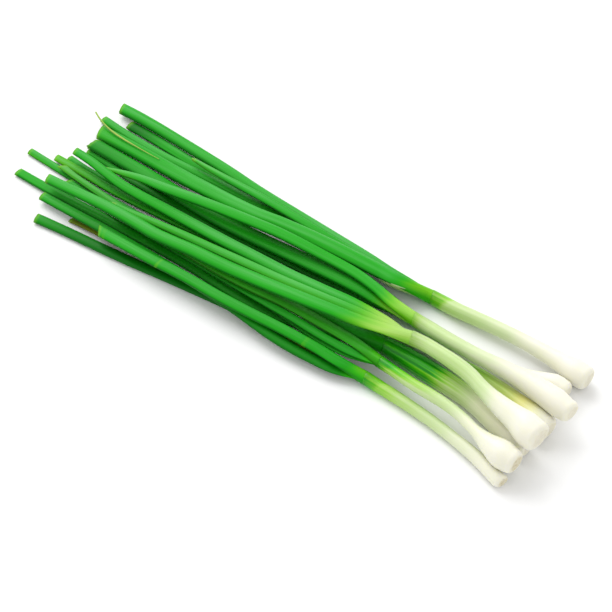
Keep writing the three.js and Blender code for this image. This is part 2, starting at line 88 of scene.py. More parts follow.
lamp_data = bpy.data.lights.new("lamp", "SUN")
lamp_data.angle = LAMP_ANGLE
lamp_data.energy = LAMP_STRENGTH
lamp = bpy.data.objects.new("lamp", lamp_data)
lamp.location = LAMP_FROM
lamp.rotation_mode = "QUATERNION"
lamp.rotation_quaternion = (-LAMP_FROM).to_track_quat("-Z", "Y")
bpy.context.scene.collection.objects.link(lamp)
world = bpy.data.worlds.new("room")
bpy.context.scene.world = world
world.use_nodes = True
world.node_tree.nodes["Background"].inputs["Color"].default_value = (1, 1, 1, 1)
world.node_tree.nodes["Background"].inputs["Strength"].default_value = ROOM_LIGHT
bpy.context.scene.view_settings.view_transform = "Standard"
FULL_LIGHT = ROOM_LIGHT + LAMP_STRENGTH * LAMP_FROM.z / math.pi
print("a white card on the floor shows as", round(FULL_LIGHT, 2))

# %% [markdown]
# A finish is a sum of small patterns, and node by node that is long to write. So a pattern's output is
# wrapped in a class whose + - * make Math nodes, and the shader maths below reads as plain arithmetic.
# %% Shader maths


class Pattern:
    """One output socket of a finish"""

    def __init__(self, finish, socket):
        self.finish = finish
        self.socket = socket

    def __add__(self, other):
        return self.finish.maths("ADD", self, other)

    def __sub__(self, other):
        return self.finish.maths("SUBTRACT", self, other)

    def __rsub__(self, other):
        return self.finish.maths("SUBTRACT", other, self)

    def __mul__(self, other):
        return self.finish.maths("MULTIPLY", self, other)

    __radd__ = __add__
    __rmul__ = __mul__


class Finish:
    """A material with its Principled shader, and one method for every other node"""

    def __init__(self, name, **fixed):
        self.material = bpy.data.materials.new(name)
        self.material.use_nodes = True
        self.tree = self.material.node_tree
        self.shader = self.tree.nodes["Principled BSDF"]
        for socket, value in fixed.items():
            self.shader.inputs[socket.replace("_", " ")].default_value = value

    def node(self, kind, settings, values, output=0):
        """Adds a node: its settings first, then the values or links of its sockets"""
        made = self.tree.nodes.new(kind)
        for name, value in settings.items():
            if name == "stops":
                self.set_stops(made.color_ramp, value)
            else:
                setattr(made, name, value)
        for name, value in values.items():
            self.feed(made.inputs[name], value)
        return Pattern(self, made.outputs[output])

    def set_stops(self, ramp, stops):
        while len(ramp.elements) < len(stops):
            ramp.elements.new(1)
        for element, (place, colour) in zip(ramp.elements, stops):
            element.position = place
            element.color = (*colour, 1)

    def feed(self, socket, value):
        if isinstance(value, Pattern):
            self.tree.links.new(value.socket, socket)
        elif isinstance(value, tuple) and len(value) == 3 and socket.type == "RGBA":
            socket.default_value = (*value, 1)
        else:
            socket.default_value = value

    def maths(self, operation, first, second):
        return self.node("ShaderNodeMath", {"operation": operation}, {0: first, 1: second})

    def mix(self, share, first, second, blend="MIX"):
        """A colour between two others"""
        settings = {"data_type": "RGBA", "blend_type": blend}
        return self.node("ShaderNodeMix", settings, {0: share, 6: first, 7: second}, output=2)

    def attribute(self, name):
        return self.node("ShaderNodeAttribute", {"attribute_name": name}, {}, output=2)

    def between(self, value, low, high):
        """0 below low, 1 above high, with a soft step between them"""
        settings = {"interpolation_type": "SMOOTHSTEP"}
        return self.node("ShaderNodeMapRange", settings, {0: value, 1: low, 2: high, 3: 0.0, 4: 1.0})

    def noise(self, place, scale, detail):
        values = {"Vector": place, "Scale": scale, "Detail": detail}
        return self.node("ShaderNodeTexNoise", {"noise_dimensions": "3D"}, values)

    def streaks(self, across, lengthwise, seed, detail=2.0):
        """A noise that runs along the piece: so many round its girth, so many in a centimetre of length"""
        skin = self.node("ShaderNodeUVMap", {"uv_map": SKIN}, {})
        place = self.node(
            "ShaderNodeVectorMath", {"operation": "MULTIPLY"}, {0: skin, 1: (across, lengthwise, 0.0)}
        )
        each = self.node("ShaderNodeAttribute", {"attribute_name": "seed"}, {}, output=2)
        shift = self.node("ShaderNodeCombineXYZ", {}, {2: each * 37.0 + seed})
        moved = self.node("ShaderNodeVectorMath", {"operation": "ADD"}, {0: place, 1: shift})
        return self.noise(moved, 1.0, detail)

    def mottle(self, scale, detail=2.0):
        """A noise in the object's own space, the same from every side"""
        place = self.node("ShaderNodeTexCoord", {}, {}, output=3)
        return self.noise(place, scale, detail)

    def bump(self, height, strength, distance):
        settings = {"Height": height, "Strength": strength, "Distance": distance}
        self.feed(self.shader.inputs["Normal"], self.node("ShaderNodeBump", {}, settings))

    def set(self, **varying):
        for socket, value in varying.items():
            self.feed(self.shader.inputs[socket.replace("_", " ")], value)


SKIN = "skin"


def srgb(red, green, blue):
    """A colour given as it looks on a screen, 0 to 255"""
    linear = []
    for value in (red, green, blue):
        share = value / 255
        linear.append(share / 12.92 if share <= 0.04045 else ((share + 0.055) / 1.055) ** 2.4)
    return tuple(linear)


def lit(red, green, blue):
    """The skin's own colour where it shows as this colour in full light"""
    return tuple(value / FULL_LIGHT for value in srgb(red, green, blue))


print("a leaf that shows as 40, 175, 45 is", [round(value, 3) for value in lit(40, 175, 45)])

# %% [markdown]
# One scale of colours runs through every plant: green in the leaf, yellow-green at the neck, pale green on
# the shank and cream at the bulb. Leaves and stems both read it, by a number called ripe that is written on
# their meshes, so the colour doesn't jump where a leaf comes out of its shank.
# %% From green to white
RIPENESS_COLOURS = [
    (0.0, lit(14, 148, 0)),
    (0.1, lit(50, 192, 4)),
    (0.22, lit(122, 214, 24)),
    (0.36, lit(178, 230, 96)),
    (0.5, lit(206, 236, 156)),
    (0.7, lit(230, 246, 194)),
    (0.85, lit(252, 255, 226)),
    (1.0, lit(264, 261, 244)),
]


def ripeness_colour(finish, ripe):
    return finish.node("ShaderNodeValToRGB", {"stops": RIPENESS_COLOURS}, {0: ripe})


# %% [markdown]
# A leaf is a waxy tube. Its skin is a deep saturated green: painted deeper on the side turned from the lamp,
# as painted shade, and paler with a painted sheen in waxy patches on the side turned to it. Fine veins run
# along it, with broader light and dark bands between them. Some leaves are yellower than others, which is
# their own colour, and some are painted darker, as painted shade where they lie under others; one number
# tells both.
# Where the knife cut a leaf, its edge has dried a little.
# %% Leaf finish
LEAF_DEEP = lit(0, 124, 6)
LEAF_GREEN = lit(24, 180, 12)
PAINTED_SHEEN_GREEN = lit(104, 204, 108)
LEAF_DARK = lit(0, 108, 10)
LEAF_YELLOW = lit(116, 206, 20)
LEAF_CUT = lit(140, 214, 48)
LEAF_DRY = lit(122, 112, 6)
CUT_EDGE = lit(112, 112, 20)

leaf = Finish("leaf_skin", IOR=1.42, Specular_IOR_Level=0.2)
bands = leaf.streaks(7.0, 0.10, 1.0)
veins = leaf.streaks(70.0, 0.5, 2.0, detail=3.0)
up = leaf.attribute("up")
tone = leaf.attribute("tone")
# Painted shade and light: deep green on the side turned from the lamp, brighter green on the side turned to
# it.
green = leaf.mix(leaf.between(up + (bands - 0.5) * 0.6, 0.25, 0.82), LEAF_DEEP, LEAF_GREEN)
# Below 0 a leaf is darkened, as painted shade where it lies under other leaves; above 0 it is yellower, its
# own colour.
green = leaf.mix(leaf.between(tone * -1.0, 0.0, 1.0) * 0.85, green, LEAF_DARK)
green = leaf.mix(leaf.between(tone + (bands - 0.5) * 0.6, 0.1, 1.2) * 0.8, green, LEAF_YELLOW)
# A painted sheen: pale green in waxy patches on the side turned to the lamp, fainter on leaves painted dark
# and at the neck.
patches = leaf.streaks(5.0, 0.09, 3.0)
painted_sheen = leaf.between(up + (bands - 0.5) * 0.25, 0.78, 1.14) * leaf.between(patches, 0.3, 0.62)
painted_sheen = painted_sheen * leaf.between(tone, -0.8, 0.2)
green = leaf.mix(painted_sheen * (1.0 - leaf.attribute("neck") * 0.5), green, PAINTED_SHEEN_GREEN)
neck = leaf.between(leaf.attribute("neck") + (bands - 0.5) * 0.35, 0.1, 0.9)
ripe = leaf.attribute("ripe")
# Near the neck the side turned to the lamp is painted paler, as painted light.
green = leaf.mix(neck, green, ripeness_colour(leaf, ripe + (bands - 0.5) * 0.1 + (up - 0.5) * 0.14 * neck))
green = leaf.mix(leaf.attribute("olive"), green, LEAF_DRY)
rim = leaf.attribute("rim")
green = leaf.mix(leaf.between(rim + (veins - 0.5) * 0.3, 0.3, 0.95) * 0.45, green, LEAF_CUT)
green = leaf.mix(leaf.between(rim, 0.93, 1.0) * 0.75, green, CUT_EDGE)
green = leaf.mix(leaf.between(veins, 0.4, 0.75) * 0.22, green, LEAF_DEEP)
# Inside the hollow cut end the leaf is darkened by depth: painted shade in the pocket.
green = leaf.mix(leaf.attribute("inside") * 0.55, green, LEAF_DEEP)
mark = leaf.attribute("mark")
green = leaf.mix(leaf.between(mark * (bands + 0.5), 0.3, 0.8) * 0.35, green, LEAF_YELLOW)
leaf.set(Base_Color=green, Roughness=0.34 + veins * 0.22)
leaf.bump(veins + bands - mark * 2.0, 0.25, 0.00012)

# %% [markdown]
# The stem's colour follows the same scale, but its green runs out unevenly, in long thin veins. Its upper
# side, turned to the lamp, is painted paler as painted light, and its underside greener as painted shade; on
# some stems a stretch of shank has this painted the other way round, and on plant 1 it is painted stronger.
# The shank is moist and lets a little light through.
# %% Stem finish
stem = Finish(
    "shank_skin",
    IOR=1.4,
    Specular_IOR_Level=0.45,
    Subsurface_Weight=0.35,
    Subsurface_Scale=0.004,
    Subsurface_Radius=(1.0, 1.0, 0.6),
)
ROOT_FACE = lit(244, 236, 206)
ROOT_SPECK = lit(228, 214, 172)
YELLOWED = srgb(255, 244, 120)

strands = stem.streaks(46.0, 0.16, 4.0, detail=3.0)
stripes = stem.streaks(14.0, 0.07, 5.0)
ripe = stem.attribute("ripe")
veined = stem.attribute("veined")
uneven = (stripes - 0.5) * (0.3 * (1.1 - ripe)) + (strands - 0.5) * (veined * 0.5 + 0.24) * (1.05 - ripe)
up = stem.attribute("up")
# Painted light and shade: the side turned to the lamp paler, the other side greener.
shown = ripe + uneven + (up - 0.5) * 0.12 * (1.2 - ripe)
# On some stems a stretch of shank is painted the other way: underside paler, upper side greener; plant 1's is
# stronger instead.
shown = shown + stem.attribute("pale_below") * (0.6 - stem.between(up, 0.1, 0.8))
flesh = ripeness_colour(stem, shown)
flesh = stem.mix(stem.attribute("yellow"), flesh, stem.mix(1.0, flesh, YELLOWED, blend="MULTIPLY"))
root = stem.attribute("root")
face = stem.mix(stem.between(stem.mottle(700.0), 0.4, 0.75), ROOT_FACE, ROOT_SPECK)
flesh = stem.mix(root, flesh, face)
stem.set(Base_Color=flesh, Roughness=0.26 + strands * 0.14 + root * 0.3)
stem.bump(strands + stripes, 0.16, 0.00012)

# %% [markdown]
# The dried strand is a withered leaf, so it is duller and yellower and it has the same lengthwise grain.
# %% Dried strand finish
dried = Finish("dried_strand_skin", Roughness=0.7)
grain = dried.streaks(9.0, 0.6, 6.0)
straw = dried.mix(dried.between(grain, 0.3, 0.7), srgb(104, 150, 38), srgb(172, 194, 84))
dried.set(Base_Color=straw)
dried.bump(grain, 0.3, 0.0001)

# %% [markdown]
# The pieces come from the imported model's own cross-sections. Every section stands across the bunch, so the
# corners of one section share the same x, and grouping a merged copy's corners by x gives the sections
# back.
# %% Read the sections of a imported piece
SAME_X = 0.02 * MM
SAME_PLACE = 0.001 * MM
CLEAR_OF_SECTION = 4 * MM


def sections(node, sides):
    """Middle, half width and half height of each whole section, from the lowest x to the highest"""
    merged = bmesh.new()
    merged.from_mesh(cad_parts[node].data)
    bmesh.ops.remove_doubles(merged, verts=merged.verts, dist=SAME_PLACE)
    corners = sorted((v.co.copy() for v in merged.verts), key=lambda co: co.x)
    merged.free()
    groups = [[corners[0]]]
    for co in corners[1:]:
        if co.x - groups[-1][-1].x < SAME_X:
            groups[-1].append(co)
        else:
            groups.append([co])
    found = []
    for group in groups:
        if len(group) >= sides:
            ys = [co.y for co in group]
            zs = [co.z for co in group]
            found.append((
                sum(co.x for co in group) / len(group),
                (min(ys) + max(ys)) / 2,
                (min(zs) + max(zs)) / 2,
                (max(ys) - min(ys)) / 2,
                (max(zs) - min(zs)) / 2,
            ))
    return found


def open_end(node, first_whole):
    """The slanted section at a cut end or mouth, and how far it leans along for each step across"""
    all_corners = [v.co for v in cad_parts[node].data.vertices]
    corners = [co for co in all_corners if co.x < first_whole - CLEAR_OF_SECTION]
    low = min(corners, key=lambda co: co.y)
    high = max(corners, key=lambda co: co.y)
    zs = [co.z for co in corners]
    section = (
        (low.x + high.x) / 2,
        (low.y + high.y) / 2,
        (min(zs) + max(zs)) / 2,
        (high.y - low.y) / 2,
        (max(zs) - min(zs)) / 2,
    )
    return section, (high.x - low.x) / (high.y - low.y)


for name, corners in (("leaf_1d", 8), ("stem_4", 10)):
    found = sections(name, corners)
    end, lean = open_end(name, found[0][0])
    print(name, len(found), "whole sections; open end", [round(value / MM, 2) for value in end])
    print("it leans along by", round(lean, 2), "for each step across")

# %% [markdown]
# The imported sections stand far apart. A smooth curve through them gives as many rings as a fine mesh needs.
# %% Smooth the way between sections


def smooth(points, x):
    """Each value of the sections at x, on a smooth curve through them"""
    last = len(points) - 1
    i = 0
    while i < last - 1 and x > points[i + 1][0]:
        i += 1
    before, here, there, after = (points[max(i - 1, 0)], points[i], points[i + 1], points[min(i + 2, last)])
    span = there[0] - here[0]
    t = min(max((x - here[0]) / span, 0.0), 1.0)
    values = []
    for k in range(1, len(here)):
        start = (there[k] - before[k]) / (there[0] - before[0]) * span
        end = (after[k] - here[k]) / (after[0] - here[0]) * span
        rise = there[k] - here[k]
        bend = t * t * (3 * rise - 2 * start - end)
        turn = t ** 3 * (start + end - 2 * rise)
        values.append(here[k] + t * start + bend + turn)
    return values


def soft_step(value, low, high):
    t = min(max((value - low) / (high - low), 0.0), 1.0)
    return t * t * (3 - 2 * t)


# %% [markdown]
# Leaf and stem alike are a rolled sheet. A grid is rolled up row by row: each row has a place and a size,
# and the grid's two long edges meet underneath, where they are merged. A row of no size is a closed end.
# %% Roll a grid into a tube
SHEET = 1.0
MERGE = 0.0005 * MM
CM_PER_M = 100
TEARS = 2
TEAR_SHIFT = 10
# BRIGHT_SIDE is where the lamp light comes from; each point's turn towards it is kept for the finishes'
# painted light and shade.
BRIGHT_SIDE = Vector((-0.2, 0.3, 0.93)).normalized()


class Row:
    """One ring of a rolled sheet, with the numbers that its finish reads"""

    def __init__(self, x, y, z, half_width, half_height, slant=0.0, **values):
        self.x = x
        self.y = y
        self.z = z
        self.half_width = half_width
        self.half_height = half_height
        self.slant = slant
        self.values = values


def rolled(name, rows, sides, relief, finish, numbers):
    """A closed tube through the rows. relief(row, angle) is the share that the skin's radius is scaled by."""
    mesh = bmesh.new()
    bmesh.ops.create_grid(mesh, x_segments=sides, y_segments=len(rows) - 1, size=SHEET)
    skin = mesh.loops.layers.uv.new(SKIN)
    layers = {key: mesh.verts.layers.float.new(key) for key in numbers}
    lengths = [0.0]
    for before, row in zip(rows, rows[1:]):
        lengths.append(lengths[-1] + math.dist((before.x, before.y, before.z), (row.x, row.y, row.z)))
    for face in mesh.faces:
        for loop in face.loops:
            column = (loop.vert.co.x / SHEET + 1) / 2
            row = round((loop.vert.co.y / SHEET + 1) / 2 * (len(rows) - 1))
            loop[skin].uv = (column, lengths[row] * CM_PER_M)
    for vert in mesh.verts:
        column = (vert.co.x / SHEET + 1) / 2
        row = rows[round((vert.co.y / SHEET + 1) / 2 * (len(rows) - 1))]
        angle = column * 2 * math.pi - math.pi / 2
        share = relief(row, angle)
        aside = row.half_width * math.cos(angle) * share
        around = Vector((TEARS * math.cos(angle), TEARS * math.sin(angle), TEAR_SHIFT * row.values["seed"]))
        torn = row.values.get("ragged", 0.0) * (0.5 + 0.5 * noise.noise(around))
        x = row.x + aside * row.slant + torn
        vert.co = (x, row.y + aside, max(row.z + row.half_height * math.sin(angle) * share, 0.0))
        for key, layer in layers.items():
            value = row.values.get(key, 0.0)
            vert[layer] = value(angle) if callable(value) else value
    bmesh.ops.remove_doubles(mesh, verts=mesh.verts, dist=MERGE)
    bmesh.ops.recalc_face_normals(mesh, faces=mesh.faces)
    mesh.normal_update()
    # How far each point turns towards the lamp, kept for painted light and shade in the finishes.
    if "up" in layers:
        for vert in mesh.verts:
            vert[layers["up"]] = max(vert.normal.dot(BRIGHT_SIDE), 0.0)
    for face in mesh.faces:
        face.smooth = True
    data = bpy.data.meshes.new(name)
    mesh.to_mesh(data)
    mesh.free()
    data.materials.append(finish.material)
    piece = bpy.data.objects.new(name, data)
    bpy.context.scene.collection.objects.link(piece)
    return piece


def plain(row, angle):
    """The relief of a piece that has no dents or ridges"""
    return 1.0


def settle(piece, node):
    """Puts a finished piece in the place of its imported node"""
    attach(piece, "root")
    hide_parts(node)


# %% [markdown]
# The leaves. Each follows its packed sections from the neck to the cut end, where the wall turns in and the
# leaf is seen to be hollow. Long shallow dents, different on each leaf, break up its shine as on real
# leaves. The skins swell into the gaps that the imported leaves keep, all but the outermost ones.
#
# Some tables go by plant and some by leaf. LIP is by how many millimetres the top leaf is smaller than the
# mouth it comes out of, NECKS how ripe that leaf is there and how far the colour reaches, and the table of
# tone and shade how yellow a leaf is, its own colour, and how dark it is painted as painted shade, at its end
# and further in. RAGGED is how far an end is torn, in millimetres, and MARKS where a leaf has been creased,
# in millimetres from the point that the camera looks at.
# %% Leaves
LEAF_SIDES = 36
LEAF_STEP = 1.6 * MM
WALL = 0.5 * MM
LIP = {1: 0.04, 2: 0.12, 3: 0.16, 4: 0.02, 5: 0.02, 6: 0.03, 7: 0.1, 8: 0.1}
SWELL = 0.2 * MM
OUTERMOST = ("1b", "6a")
RAGGED = {"3a": 2.6}
RAGGED_EDGE = 0.35
MARKS = {"6d": (-106.7, -70.4, 18.5)}
POCKET = ((0.0, 1.0), (0.4, 0.75), (1.6, 0.9), (4.0, 1.0), (7.5, 1.1))
POCKET_SHADE = 2.0
SLANT_FADE = 12 * MM
CUT_ZONE = 4 * MM
RAGGED_DEPTH = 7 * MM
SWELL_FADE = 20 * MM
MARK_REACH = 1.7
FOOT_SHARE = 0.8
ROOTED = 1.5 * MM
TIP = 0.3 * MM
DENTS = 4
DENT_SIDE = (0.15, 0.85)
DENT_DEPTH = (0.03, 0.09)
DENT_WIDTH = (0.16, 0.4)
DENT_SWAY = 0.25
DENT_TURNS_PER_MM = 0.021
DENT_FADES_PER_MM = 0.034
DENT_FROM_CUT = 14 * MM
DENT_FROM_NECK = (2 * MM, 30 * MM)
WAVER = 0.012
WAVERS_PER_MM = 0.06
OLIVE = {"6b": 0.8, "5c": 0.1}
# Per leaf, at the cut end and further in: below 0 painted shade, darker; above 0 its own yellower colour.
TONE_AND_SHADE = {
    "1a": (0.1, 0.0), "1c": (0.5, 0.1), "1d": (0.3, -0.05), "2a": (-0.9, 0.1), "2b": (-0.1, -0.6),
    "3a": (-0.5, -0.3), "3b": (0.5, 0.0), "4a": (-0.1, 0.0), "4b": (0.4, 0.4), "4c": (0.1, -0.05),
    "5a": (-0.4, -0.4), "5b": (-0.1, -0.4), "5c": (0.5, -0.2), "6a": (-0.5, -0.9), "6c": (-0.2, -0.6),
    "6d": (0.1, -0.25), "7a": (0.1, -0.3), "7b": (0.8, 0.3), "8a": (0.1, -0.4), "8b": (0.4, 0.0),
}
TONE_AND_SHADE_LENGTH = 40 * MM
POINTED = ("1c", "3b", "4b")
PLANT_LEAVES = {1: "abcd", 2: "ab", 3: "ab", 4: "abc", 5: "abc", 6: "abcd", 7: "ab", 8: "ab"}
NECKS = {
    1: (0.18, 26 * MM), 2: (0.2, 30 * MM), 3: (0.27, 38 * MM), 4: (0.36, 56 * MM),
    5: (0.05, 14 * MM), 6: (0.1, 16 * MM), 7: (0.0, 20 * MM), 8: (0.0, 20 * MM),
}
LEAF_NUMBERS = ("seed", "neck", "ripe", "tone", "olive", "rim", "mark", "inside", "up")


def dented(draw):
    """The relief of one leaf, with its own long shallow dents"""
    dents = []
    for _ in range(DENTS):
        middle = draw.uniform(*DENT_SIDE) * math.pi
        depth = draw.uniform(*DENT_DEPTH)
        width = draw.uniform(*DENT_WIDTH)
        dents.append((middle, depth, width, draw.uniform(-1, 1)))
    wave = draw.uniform(0, 100)

    def relief(row, angle):
        share = 1.0
        fade = row.values.get("dent", 0.0)
        along = row.x / MM
        for middle, depth, width, drift in dents:
            turn = middle + DENT_SWAY * math.sin(along * DENT_TURNS_PER_MM * (1 + 0.3 * drift) + 9 * drift)
            away = (angle - turn + math.pi) % (2 * math.pi) - math.pi
            strength = 0.55 + 0.45 * math.sin(along * DENT_FADES_PER_MM + 17 * drift)
            share -= fade * depth * strength * math.exp(-((away / width) ** 2))
        return share * (1 - WAVER + WAVER * noise.noise(Vector((along * WAVERS_PER_MM, wave, 0.0))))

    return relief


def make_leaf(plant, letter):
    which = f"{plant}{letter}"
    node = f"leaf_{which}"
    draw = random.Random(node)
    found = sections(node, 8)
    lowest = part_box(node)[0].x
    pointed = which in POINTED
    neck_ripe, neck_length = NECKS[plant]
    tone_and_shade_out, tone_and_shade_in = TONE_AND_SHADE.get(which, (0.0, 0.0))
    marks = [place + LOOK_AT.x / MM for place in MARKS.get(which, ())]
    ragged = 0.0 if pointed else RAGGED.get(which, RAGGED_EDGE) * MM
    swell = 0.0 if which in OUTERMOST else SWELL
    collar, mouth, foot = found[-3:]
    slant = 0.0
    body = found[:-2]
    if not pointed:
        cut, slant = open_end(node, found[0][0])
        body = [cut] + found[1:-2]
    if letter == PLANT_LEAVES[plant][-1]:
        shank = f"stem_{plant}"
        around = open_end(shank, sections(shank, 10)[0][0])[0]
        mouth = (*around[:3], around[3] - LIP[plant] * MM, around[4] - LIP[plant] * MM)
        collar = mouth
        body = body[:-1] + [mouth]
        foot = (foot[0], around[1], around[2], mouth[3] * FOOT_SHARE, mouth[4] * FOOT_SHARE)
    seed = draw.random()
    relief = dented(draw)

    end_x = body[0][0]
    count = round((collar[0] - end_x) / LEAF_STEP)
    rows = [
        Row(foot[0], foot[1], foot[2], 0.0, 0.0, neck=1.0, ripe=neck_ripe),
        Row(foot[0], foot[1], foot[2], foot[3], foot[4], neck=1.0, ripe=neck_ripe),
        Row(mouth[0] + ROOTED, mouth[1], mouth[2], mouth[3], mouth[4], neck=1.0, ripe=neck_ripe),
    ]
    for i in range(count, -1, -1):
        x = end_x + (collar[0] - end_x) * i / count
        y, z, half_width, half_height = smooth(body, x)
        from_end = x - end_x
        neck_now = soft_step(x, collar[0] - neck_length, collar[0])
        half_width += swell * (1 - soft_step(x, collar[0] - SWELL_FADE, collar[0]))
        rows.append(Row(
            x, y, z, half_width, half_height,
            slant * max(0.0, 1 - from_end / SLANT_FADE),
            neck=neck_now,
            ripe=neck_now * neck_ripe,
            tone=tone_and_shade_out + (tone_and_shade_in - tone_and_shade_out) * soft_step(from_end, 0, TONE_AND_SHADE_LENGTH),
            rim=max(0.0, 1 - from_end / CUT_ZONE),
            mark=max([0.0] + [1 - abs(x / MM - place) / MARK_REACH for place in marks]),
            ragged=ragged * max(0.0, 1 - from_end / RAGGED_DEPTH),
            dent=soft_step(from_end, 0, DENT_FROM_CUT) * soft_step(collar[0] - x, *DENT_FROM_NECK),
        ))
    end = rows[-1]
    if pointed:
        rows.append(Row(lowest + TIP, end.y, end.z, end.half_width * 0.5, end.half_height * 0.5, rim=0.8))
        rows.append(Row(lowest, end.y, end.z, 0.0, 0.0, rim=0.9))
    else:
        for depth, wall in POCKET:
            y, z, half_width, half_height = smooth(body, end_x + depth * MM)
            thin = WALL * wall
            rows.append(Row(
                end_x + depth * MM, y, z, half_width - thin, half_height - thin,
                slant * max(0.0, 1 - depth * MM / SLANT_FADE),
                rim=max(0.0, 0.98 - depth / POCKET_SHADE),
                inside=min(1.0, depth / POCKET_SHADE),
                ragged=ragged * max(0.0, 1 - depth * MM / RAGGED_DEPTH),
            ))
        last = rows[-1]
        rows.append(Row(last.x, last.y, last.z, 0.0, 0.0, inside=1.0))
    for row in rows:
        row.values["seed"] = seed
        row.values["olive"] = OLIVE.get(which, 0.0)
        row.values.setdefault("tone", tone_and_shade_out if row.x < end_x + CUT_ZONE else tone_and_shade_in)
    piece = rolled(f"blade_{which}", rows, LEAF_SIDES, relief, leaf, LEAF_NUMBERS)
    settle(piece, node)
    return piece


leaves = [make_leaf(plant, letter) for plant, letters in PLANT_LEAVES.items() for letter in letters]
print(len(leaves), "leaves,", sum(len(piece.data.polygons) for piece in leaves), "faces")

# %% [markdown]
# The stems. How ripe each is, is told at seven places from its mouth to its root: 0 is green, a half pale
# green and 1 white. Plants 7 and 8 are green far down and yellowish. Shallow ridges run along every shank,
# and its bulb's shoulder rounds over into the root plate.
#
# GREEN_FURTHER is how many millimetres further the green reaches on a stem's far side, YELLOW how yellow
# its lower part is and VEINED how strongly the green runs out in veins. The table after them is how much the
# underside, turned from the lamp, is painted paler and the upper side greener, the other way round where it
# is below 0, as painted light and shade, and from where to where in millimetres from the mouth.
# %% Stems
STEM_SIDES = 48
STEM_STEP = 1.2 * MM
RIPENESS_AT = (0, 8, 12, 26, 42, 60, 80)
RIPENESS = {
    1: (0.18, 0.24, 0.5, 0.57, 0.7, 0.9, 1.0),
    2: (0.3, 0.45, 0.6, 0.7, 0.8, 0.94, 1.0),
    3: (0.27, 0.5, 0.56, 0.63, 0.76, 0.95, 1.0),
    4: (0.37, 0.48, 0.52, 0.51, 0.6, 0.92, 1.0),
    5: (0.05, 0.14, 0.26, 0.44, 0.57, 0.84, 0.98),
    6: (0.1, 0.18, 0.32, 0.46, 0.6, 0.8, 0.95),
    7: (0.2, 0.28, 0.34, 0.48, 0.84, 1.0, 1.0),
    8: (0.0, 0.0, 0.0, 0.04, 0.45, 0.82, 0.95),
}
GREEN_FURTHER = {1: 3.0, 3: 1.0, 5: 5.0, 6: 3.0}
YELLOW = {7: 0.7, 8: 0.1}
VEINED = {1: 0.1, 3: 0.15, 4: 0.5, 5: 0.35, 6: 0.2, 7: 0.6, 8: 1.0}
PAINTED_UNDERSIDE = {5: (0.25, 6, 22), 8: (0.2, 24, 40), 3: (0.08, 10, 60), 1: (-0.04, 20, 70)}
STEM_NUMBERS = ("seed", "ripe", "veined", "yellow", "pale_below", "root", "up")
SHOULDER = 2.2 * MM
SHOULDER_STEPS = 9
ROOT_RISE = 0.9 * MM
ROOT_DRAW_IN = 0.34
ROOT_FACE_SHARE = 1 - ROOT_DRAW_IN
ROOT_DISH = 0.35 * MM
ROOT_TINT = {5: 1.0, 6: 0.9}
ROOT_TINT_OF_OTHERS = 0.5
ROOT_RINGS = (0.58, 0.45, 0.3, 0.15)
RIDGES = 3
RIDGE_NUMBER = (2, 7)
RIDGE_HEIGHT = (0.004, 0.012)
RIDGE_TWIST_PER_MM = 0.03
RIDGE_FADE = 20 * MM
MOUTH_FADE = 6 * MM
YELLOW_FROM_MOUTH = (4 * MM, 40 * MM)
YELLOW_FROM_ROOT = 16 * MM
PALE_FADE = 20


def ripeness(plant, from_mouth):
    """How ripe the stem is at a distance from its mouth"""
    distance = from_mouth / MM
    values = RIPENESS[plant]
    for k in range(len(RIPENESS_AT) - 1):
        if distance < RIPENESS_AT[k + 1]:
            share = soft_step(distance, RIPENESS_AT[k], RIPENESS_AT[k + 1])
            return values[k] + (values[k + 1] - values[k]) * share
    return values[-1]


def ripe_around(plant, from_mouth):
    """How ripe it is at each angle round the stem, where the green reaches further down the far side"""
    further = GREEN_FURTHER.get(plant, 0.0) * MM
    return lambda angle: ripeness(plant, from_mouth - further * math.cos(angle))


